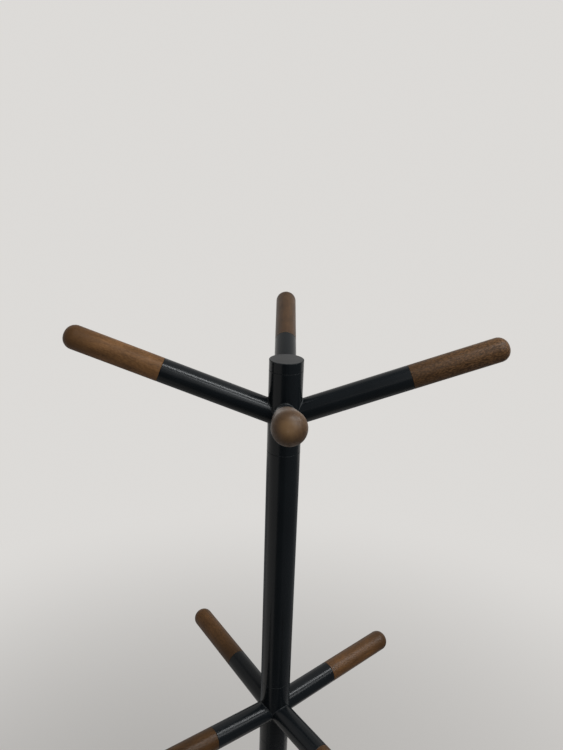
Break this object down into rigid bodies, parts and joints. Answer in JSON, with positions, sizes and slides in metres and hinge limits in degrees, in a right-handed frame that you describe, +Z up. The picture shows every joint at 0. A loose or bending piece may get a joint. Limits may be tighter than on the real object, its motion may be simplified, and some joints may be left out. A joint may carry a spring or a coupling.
{
  "type": "coat stand",
  "caption": "Free-standing coat stand: a round black steel pole on a round base plate, with turning tiers of tube arms that end in rounded wood tips for hanging coats.",
  "frame": {"origin": "on the floor under the middle of the pole", "axes": "+Z up along the pole; -Y to the front, the way one upper arm points; +X to the right"},
  "size_m": [0.4404, 0.4404, 1.6261],
  "materials": {
    "black_coat": "satin",
    "walnut": "satin",
    "zinc_steel": "plated",
    "pad_rubber": "matte"
  },
  "bodies": {
    "stand": {"base_plate": "black_coat", "base_bolt": "zinc_steel", "floor_pads": "pad_rubber", "bottom_tube": "black_coat", "bottom_tube_foot_insert": "zinc_steel", "bottom_tube_head_insert": "zinc_steel", "bottom_tube_head_stud": "zinc_steel", "middle_tube": "black_coat", "middle_tube_foot_insert": "zinc_steel", "middle_tube_head_insert": "zinc_steel", "middle_tube_head_stud": "zinc_steel"},
    "lower_tier": {"lower_hub": "black_coat", "lower_hub_foot_insert": "zinc_steel", "lower_hub_head_insert": "zinc_steel", "lower_hub_head_stud": "zinc_steel", "upper_tube": "black_coat", "upper_tube_foot_insert": "zinc_steel", "upper_tube_head_insert": "zinc_steel", "upper_tube_head_stud": "zinc_steel", "lower_arm_back_right": "black_coat", "lower_arm_back_left": "black_coat", "lower_arm_front_left": "black_coat", "lower_arm_front_right": "black_coat", "lower_tip_back_right": "walnut", "lower_tip_back_left": "walnut", "lower_tip_front_left": "walnut", "lower_tip_front_right": "walnut", "lower_arm_plugs": "zinc_steel", "lower_tip_studs": "zinc_steel"},
    "upper_tier": {"upper_hub": "black_coat", "upper_hub_foot_insert": "zinc_steel", "top_cap": "black_coat", "upper_arm_right": "black_coat", "upper_arm_back": "black_coat", "upper_arm_left": "black_coat", "upper_arm_front": "black_coat", "upper_tip_right": "walnut", "upper_tip_back": "walnut", "upper_tip_left": "walnut", "upper_tip_front": "walnut", "upper_arm_plugs": "zinc_steel", "upper_tip_studs": "zinc_steel"}
  },
  "joints": [
    {"name": "lower_tier_turn", "type": "hinge", "parent": "stand", "child": "lower_tier", "pos_m": [0, 0, 1.111], "axis": [0, 0, 1], "range_deg": [0, 90]},
    {"name": "upper_tier_turn", "type": "hinge", "parent": "lower_tier", "child": "upper_tier", "pos_m": [0, 0, 1.499], "axis": [0, 0, 1], "range_deg": [0, 90]}
  ]
}
